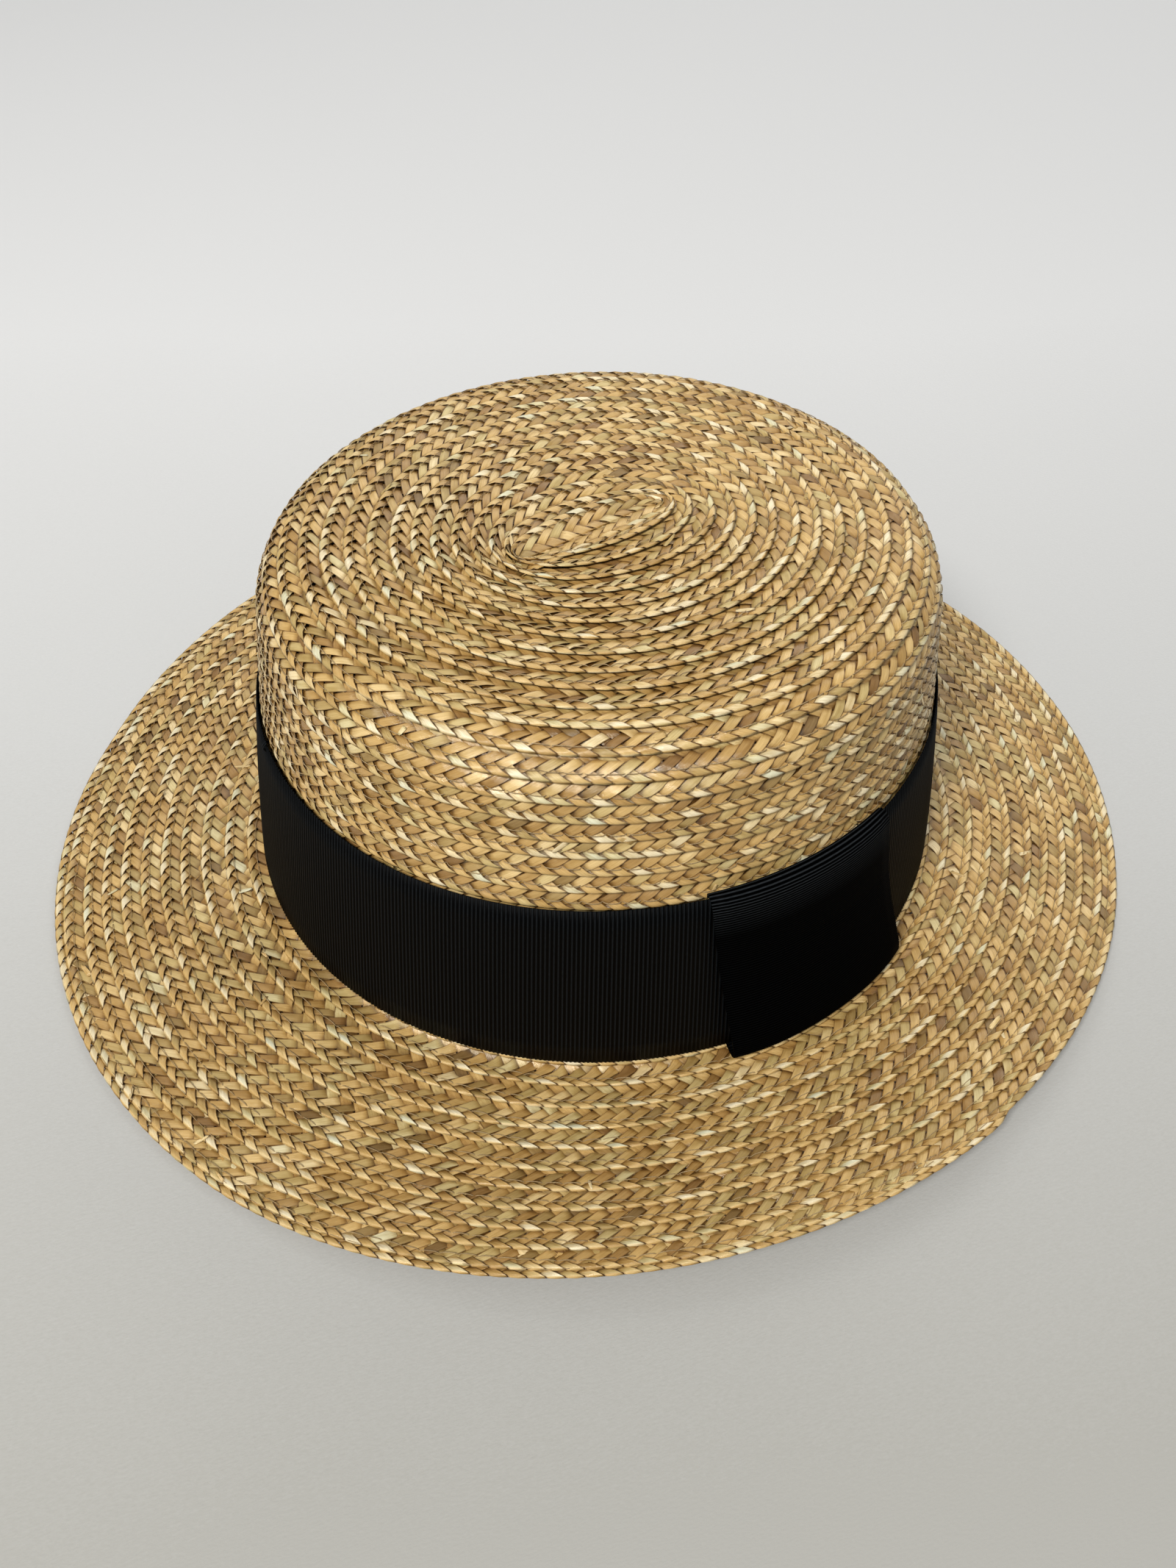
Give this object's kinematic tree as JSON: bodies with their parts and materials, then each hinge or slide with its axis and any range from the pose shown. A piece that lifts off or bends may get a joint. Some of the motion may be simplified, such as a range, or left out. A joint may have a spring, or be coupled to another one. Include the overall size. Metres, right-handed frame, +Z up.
{
  "type": "straw boater hat",
  "caption": "Flat-crowned hat sewn from straw braid, with a wide sloping brim, a black grosgrain band and an upright bow wrap.",
  "frame": {"origin": "on the table, under the middle of the hat's box", "axes": "+X towards the wearer's forehead, +Y towards the wearer's left, where the bow sits, +Z up through the crown"},
  "size_m": [0.304, 0.281, 0.1007],
  "materials": {
    "straw_tip": "plaited natural wheat straw, satin",
    "straw_side": "plaited natural wheat straw, satin",
    "straw_brim": "plaited natural wheat straw, satin",
    "grosgrain": "fine ribbed grosgrain ribbon, faint sheen",
    "grosgrain_bow": "fine ribbed grosgrain ribbon, ribs level",
    "sweatband_tape": "ribbed cotton tape, matte",
    "black_thread": "black sewing thread"
  },
  "bodies": {
    "root": {"start_strip": "straw_tip", "crown_tip": "straw_tip", "crown_shoulder": "straw_side", "crown_side": "straw_side", "brim": "straw_brim", "brim_edge": "straw_brim", "braid_end": "straw_brim", "hat_band": "grosgrain", "bow_wrap": "grosgrain_bow", "sweatband": "sweatband_tape", "band_tack_front": "black_thread", "band_tack_right": "black_thread", "band_tack_back": "black_thread"}
  },
  "joints": []
}
